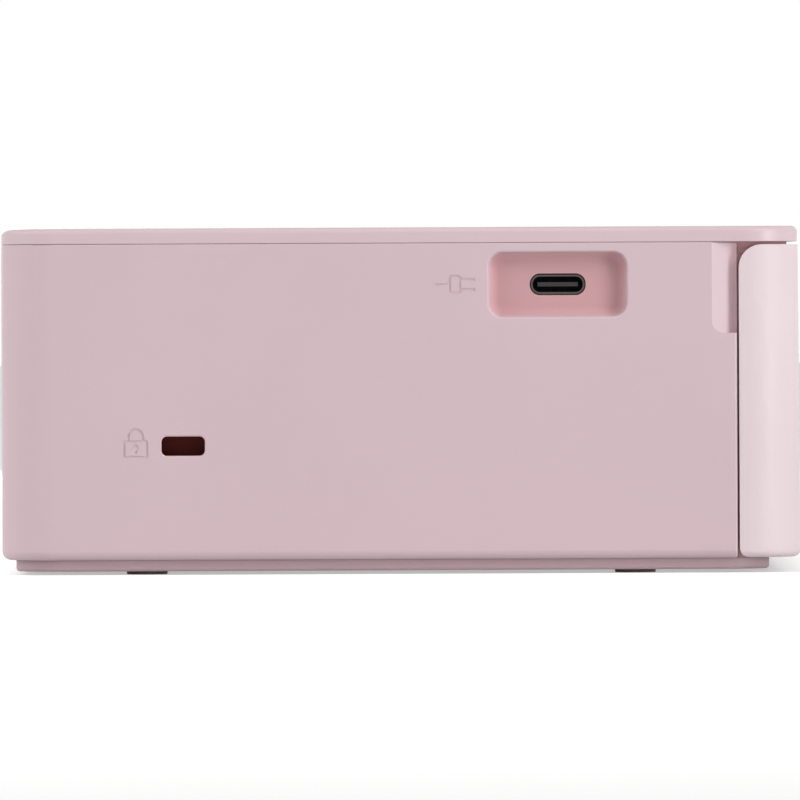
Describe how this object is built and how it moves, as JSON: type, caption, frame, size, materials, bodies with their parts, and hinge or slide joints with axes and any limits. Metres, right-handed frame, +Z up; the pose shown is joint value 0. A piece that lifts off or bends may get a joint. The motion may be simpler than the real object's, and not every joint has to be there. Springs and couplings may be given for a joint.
{
  "type": "compact photo printer",
  "caption": "Low rounded box printer with a full-length lid plate, a drop-down front cover over the paper bay, a side ink door, screen and keys on top, and a side charging port.",
  "frame": {"origin": "on the table, under the middle of the case", "axes": "+Z up, +X along the width to the ink door side, -Y to the front cover"},
  "size_m": [0.1822, 0.133, 0.0576],
  "materials": {
    "case_plastic": "fine matte pink moulding",
    "base_plastic": "matte pink moulding",
    "key_plastic": "satin pink moulding",
    "foot_rubber": "grey rubber",
    "screen_glass": "polished black panel",
    "screen_body": "dark display module",
    "inner_plastic": "dark grey moulding",
    "guide_plastic": "smooth black moulding",
    "sheet_steel": "zinc plated sheet",
    "shaft_steel": "ground steel",
    "bearing_plastic": "natural acetal",
    "gear_plastic": "white acetal",
    "roller_rubber": "black rubber",
    "motor_steel": "plated steel can",
    "cassette_plastic": "black moulding",
    "spool_plastic": "light grey moulding",
    "film": "thin coloured film",
    "lever_plastic": "orange moulding",
    "ceramic": "glazed alumina",
    "aluminium": "extruded",
    "board": "green circuit board",
    "chip": "black packages",
    "socket_steel": "bright plated steel",
    "socket_plastic": "grey insulator"
  },
  "bodies": {
    "case": {"base_tray": "base_plastic", "rubber_feet": "foot_rubber", "body_shell": "case_plastic", "top_cover": "case_plastic", "screen_window": "screen_glass", "screen_module": "screen_body", "keypad_board": "board", "front_frame": "base_plastic", "paper_bay": "guide_plastic", "chassis_left_plate": "sheet_steel", "chassis_right_plate": "sheet_steel", "chassis_cross_members": "sheet_steel", "shaft_bushes": "bearing_plastic", "paper_guides": "guide_plastic", "pinch_springs": "sheet_steel", "feed_motor": "motor_steel", "ribbon_motor": "motor_steel", "motor_bracket": "sheet_steel", "main_board": "board", "board_chips": "chip", "board_sockets": "socket_steel", "usb_tongue": "socket_plastic", "lock_plate": "sheet_steel", "power_board": "board", "dc_jack": "chip", "battery_cover": "case_plastic", "case_screws": "shaft_steel"},
    "front_cover": {"front_cover": "case_plastic", "front_cover_pins": "shaft_steel"},
    "ink_door": {"ink_door": "case_plastic"},
    "capstan": {"capstan_roller": "shaft_steel", "capstan_gear": "gear_plastic"},
    "pinch": {"pinch_roller": "shaft_steel"},
    "pickup": {"pickup_shaft": "shaft_steel", "pickup_tyres": "roller_rubber", "pickup_gear": "gear_plastic"},
    "reduction": {"reduction_gear": "gear_plastic"},
    "feed_drive": {"feed_pinion": "shaft_steel"},
    "platen": {"platen_shaft": "shaft_steel", "platen_rubber": "roller_rubber"},
    "ribbon_drive": {"ribbon_pinion": "shaft_steel"},
    "takeup_drive": {"takeup_spindle": "gear_plastic"},
    "supply_brake": {"supply_spindle": "gear_plastic"},
    "cassette": {"ink_cassette": "cassette_plastic", "ribbon_film": "film"},
    "takeup": {"takeup_spool": "spool_plastic"},
    "supply": {"supply_spool": "spool_plastic"},
    "lever": {"eject_lever": "lever_plastic"},
    "head": {"print_head": "ceramic", "head_heatsink": "aluminium", "head_carrier": "inner_plastic"},
    "power_key_cap": {"power_key": "key_plastic"},
    "home_key_cap": {"home_key": "key_plastic"},
    "back_key_cap": {"back_key": "key_plastic"},
    "right_key_cap": {"right_key": "key_plastic"},
    "up_key_cap": {"up_key": "key_plastic"},
    "left_key_cap": {"left_key": "key_plastic"},
    "down_key_cap": {"down_key": "key_plastic"},
    "ok_key_cap": {"ok_key": "key_plastic"},
    "print_key_cap": {"print_key": "key_plastic"}
  },
  "joints": [
    {"name": "front_cover_hinge", "type": "hinge", "parent": "case", "child": "front_cover", "pos_m": [0, -0.0635, 0.0042], "axis": [1, 0, 0], "range_deg": [0, 90]},
    {"name": "ink_door_hinge", "type": "hinge", "parent": "case", "child": "ink_door", "pos_m": [0.0901, 0.023, 0.0094], "axis": [0, 1, 0], "range_deg": [0, 90]},
    {"name": "power_key_press", "type": "slide", "parent": "case", "child": "power_key_cap", "axis": [0, 0, -1], "range_m": [0, 0.0005], "stiffness_N_per_m": 300},
    {"name": "home_key_press", "type": "slide", "parent": "case", "child": "home_key_cap", "axis": [0, 0, -1], "range_m": [0, 0.0005], "stiffness_N_per_m": 300},
    {"name": "back_key_press", "type": "slide", "parent": "case", "child": "back_key_cap", "axis": [0, 0, -1], "range_m": [0, 0.0005], "stiffness_N_per_m": 300},
    {"name": "right_key_press", "type": "slide", "parent": "case", "child": "right_key_cap", "axis": [0, 0, -1], "range_m": [0, 0.0005], "stiffness_N_per_m": 300},
    {"name": "up_key_press", "type": "slide", "parent": "case", "child": "up_key_cap", "axis": [0, 0, -1], "range_m": [0, 0.0005], "stiffness_N_per_m": 300},
    {"name": "left_key_press", "type": "slide", "parent": "case", "child": "left_key_cap", "axis": [0, 0, -1], "range_m": [0, 0.0005], "stiffness_N_per_m": 300},
    {"name": "down_key_press", "type": "slide", "parent": "case", "child": "down_key_cap", "axis": [0, 0, -1], "range_m": [0, 0.0005], "stiffness_N_per_m": 300},
    {"name": "ok_key_press", "type": "slide", "parent": "case", "child": "ok_key_cap", "axis": [0, 0, -1], "range_m": [0, 0.0005], "stiffness_N_per_m": 300},
    {"name": "print_key_press", "type": "slide", "parent": "case", "child": "print_key_cap", "axis": [0, 0, -1], "range_m": [0, 0.0005], "stiffness_N_per_m": 300},
    {"name": "capstan_spin", "type": "hinge", "parent": "case", "child": "capstan", "pos_m": [0, -0.009, 0.0225], "axis": [1, 0, 0], "continuous": true},
    {"name": "pinch_spin", "type": "hinge", "parent": "case", "child": "pinch", "pos_m": [0, -0.009, 0.02975], "axis": [1, 0, 0], "continuous": true},
    {"name": "pickup_spin", "type": "hinge", "parent": "case", "child": "pickup", "pos_m": [0, -0.027, 0.03075], "axis": [1, 0, 0], "continuous": true},
    {"name": "reduction_spin", "type": "hinge", "parent": "case", "child": "reduction", "pos_m": [0, 0.0075, 0.0225], "axis": [1, 0, 0], "continuous": true},
    {"name": "feed_pinion_spin", "type": "hinge", "parent": "case", "child": "feed_drive", "pos_m": [0, 0.02153, 0.0144], "axis": [1, 0, 0], "continuous": true},
    {"name": "platen_spin", "type": "hinge", "parent": "case", "child": "platen", "pos_m": [0, 0.023, 0.0195], "axis": [1, 0, 0], "continuous": true},
    {"name": "takeup_spindle_spin", "type": "hinge", "parent": "case", "child": "takeup_drive", "pos_m": [0, 0.004, 0.0395], "axis": [1, 0, 0], "continuous": true},
    {"name": "ribbon_pinion_spin", "type": "hinge", "parent": "case", "child": "ribbon_drive", "pos_m": [0, 0.01675, 0.04292], "axis": [1, 0, 0], "continuous": true},
    {"name": "takeup_spool_spin", "type": "hinge", "parent": "cassette", "child": "takeup", "pos_m": [0, 0.004, 0.0395], "axis": [1, 0, 0], "continuous": true},
    {"name": "supply_spindle_spin", "type": "hinge", "parent": "case", "child": "supply_brake", "pos_m": [0, 0.042, 0.0395], "axis": [1, 0, 0], "continuous": true},
    {"name": "supply_spool_spin", "type": "hinge", "parent": "cassette", "child": "supply", "pos_m": [0, 0.042, 0.0395], "axis": [1, 0, 0], "continuous": true},
    {"name": "cassette_slide", "type": "slide", "parent": "case", "child": "cassette", "axis": [1, 0, 0], "range_m": [0, 0.0025]},
    {"name": "eject_lever_slide", "type": "slide", "parent": "case", "child": "lever", "axis": [0, 0, -1], "range_m": [0, 0.0025]},
    {"name": "head_lift", "type": "slide", "parent": "case", "child": "head", "axis": [0, 0, -1], "range_m": [0, 0.0017], "stiffness_N_per_m": 200, "springref_m": -0.004}
  ],
  "couplings": [
    {"joint": "pickup_spin", "follows": "capstan_spin", "ratio": -0.5},
    {"joint": "reduction_spin", "follows": "capstan_spin", "ratio": -2.6667},
    {"joint": "feed_pinion_spin", "follows": "capstan_spin", "ratio": 7.619},
    {"joint": "pinch_spin", "follows": "capstan_spin", "ratio": -1.3333},
    {"joint": "ribbon_pinion_spin", "follows": "takeup_spindle_spin", "ratio": -2.1429},
    {"joint": "takeup_spool_spin", "follows": "takeup_spindle_spin", "ratio": 1},
    {"joint": "supply_spindle_spin", "follows": "supply_spool_spin", "ratio": 1},
    {"joint": "eject_lever_slide", "follows": "cassette_slide", "ratio": 1}
  ]
}
